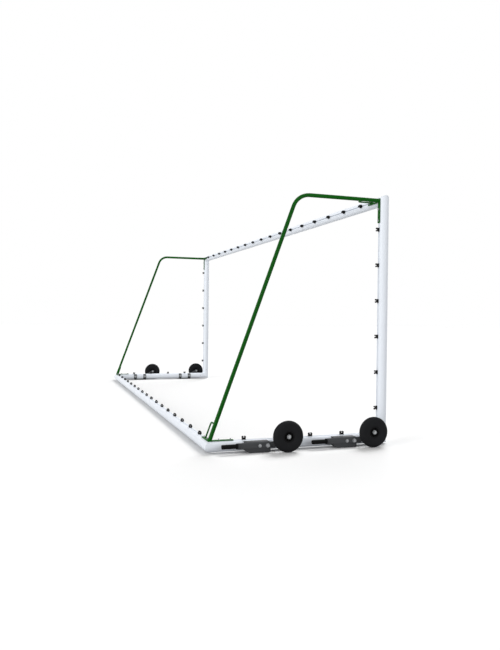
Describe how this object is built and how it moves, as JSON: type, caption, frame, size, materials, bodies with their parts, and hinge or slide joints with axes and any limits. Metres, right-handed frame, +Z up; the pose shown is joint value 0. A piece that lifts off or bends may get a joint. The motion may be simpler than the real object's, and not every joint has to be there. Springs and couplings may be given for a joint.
{
  "type": "soccer goal frame",
  "caption": "Free-standing goal frame of round grooved profile with slanting net bows, net clips and lever-lifted wheels on its ground bars.",
  "frame": {"origin": "on the ground, at the middle of the goal's width and depth", "axes": "+X across the goal along the crossbar, -Y out of the goal mouth, +Z up"},
  "size_m": [7.8326, 1.928, 2.556],
  "materials": {
    "white_profile": "white powder coat",
    "green_steel": "dark green powder coat",
    "dark_steel": "dark grey coat",
    "zinc_steel": "zinc plated",
    "clip_plastic": "black moulded",
    "grip_rubber": "ribbed black rubber",
    "hub_plastic": "black moulded",
    "tyre_rubber": "smooth black rubber",
    "cast_alloy": "as cast",
    "ballast_steel": "rolled"
  },
  "bodies": {
    "frame": {"crossbar": "white_profile", "left_post": "white_profile", "right_post": "white_profile", "left_side_bar": "white_profile", "right_side_bar": "white_profile", "rear_bar": "white_profile", "top_corner_inserts": "cast_alloy", "front_corner_inserts": "cast_alloy", "rear_corner_inserts": "cast_alloy", "corner_screws": "zinc_steel", "ballast_bar": "ballast_steel", "bow_bolts": "zinc_steel", "left_bow_tube": "green_steel", "left_bow_top_plate": "green_steel", "left_bow_foot_plate": "green_steel", "left_bow_braces": "green_steel", "right_bow_tube": "green_steel", "right_bow_top_plate": "green_steel", "right_bow_foot_plate": "green_steel", "right_bow_braces": "green_steel", "crossbar_clips": "clip_plastic", "rear_bar_clips": "clip_plastic", "left_post_clips": "clip_plastic", "right_post_clips": "clip_plastic", "left_side_clips": "clip_plastic", "right_side_clips": "clip_plastic", "clamp_saddles": "dark_steel", "bracket_bolts": "zinc_steel", "pivot_bolts": "zinc_steel", "left_front_bracket": "dark_steel", "left_rear_bracket": "dark_steel", "right_front_bracket": "dark_steel", "right_rear_bracket": "dark_steel"},
    "left_front_lever_arm": {"left_front_lever": "dark_steel", "left_front_grip": "grip_rubber", "left_front_lock_bolt": "zinc_steel", "left_front_axle_bolt": "zinc_steel"},
    "left_front_wheel": {"left_front_hub": "hub_plastic", "left_front_tyre": "tyre_rubber"},
    "left_rear_lever_arm": {"left_rear_lever": "dark_steel", "left_rear_grip": "grip_rubber", "left_rear_lock_bolt": "zinc_steel", "left_rear_axle_bolt": "zinc_steel"},
    "left_rear_wheel": {"left_rear_hub": "hub_plastic", "left_rear_tyre": "tyre_rubber"},
    "right_front_lever_arm": {"right_front_lever": "dark_steel", "right_front_grip": "grip_rubber", "right_front_lock_bolt": "zinc_steel", "right_front_axle_bolt": "zinc_steel"},
    "right_front_wheel": {"right_front_hub": "hub_plastic", "right_front_tyre": "tyre_rubber"},
    "right_rear_lever_arm": {"right_rear_lever": "dark_steel", "right_rear_grip": "grip_rubber", "right_rear_lock_bolt": "zinc_steel", "right_rear_axle_bolt": "zinc_steel"},
    "right_rear_wheel": {"right_rear_hub": "hub_plastic", "right_rear_tyre": "tyre_rubber"}
  },
  "joints": [
    {"name": "left_front_lift", "type": "hinge", "parent": "frame", "child": "left_front_lever_arm", "pos_m": [-3.8203, -0.5504, 0.069], "axis": [1, 0, 0], "range_deg": [0, 12]},
    {"name": "left_front_spin", "type": "hinge", "parent": "left_front_lever_arm", "child": "left_front_wheel", "pos_m": [-3.8743, -0.7374, 0.1535], "axis": [1, 0, 0], "continuous": true},
    {"name": "left_rear_lift", "type": "hinge", "parent": "frame", "child": "left_rear_lever_arm", "pos_m": [-3.8203, 0.3664, 0.069], "axis": [1, 0, 0], "range_deg": [0, 12]},
    {"name": "left_rear_spin", "type": "hinge", "parent": "left_rear_lever_arm", "child": "left_rear_wheel", "pos_m": [-3.8743, 0.1794, 0.1535], "axis": [1, 0, 0], "continuous": true},
    {"name": "right_front_lift", "type": "hinge", "parent": "frame", "child": "right_front_lever_arm", "pos_m": [3.8203, -0.5504, 0.069], "axis": [1, 0, 0], "range_deg": [0, 12]},
    {"name": "right_front_spin", "type": "hinge", "parent": "right_front_lever_arm", "child": "right_front_wheel", "pos_m": [3.8743, -0.7374, 0.1535], "axis": [1, 0, 0], "continuous": true},
    {"name": "right_rear_lift", "type": "hinge", "parent": "frame", "child": "right_rear_lever_arm", "pos_m": [3.8203, 0.3664, 0.069], "axis": [1, 0, 0], "range_deg": [0, 12]},
    {"name": "right_rear_spin", "type": "hinge", "parent": "right_rear_lever_arm", "child": "right_rear_wheel", "pos_m": [3.8743, 0.1794, 0.1535], "axis": [1, 0, 0], "continuous": true}
  ]
}
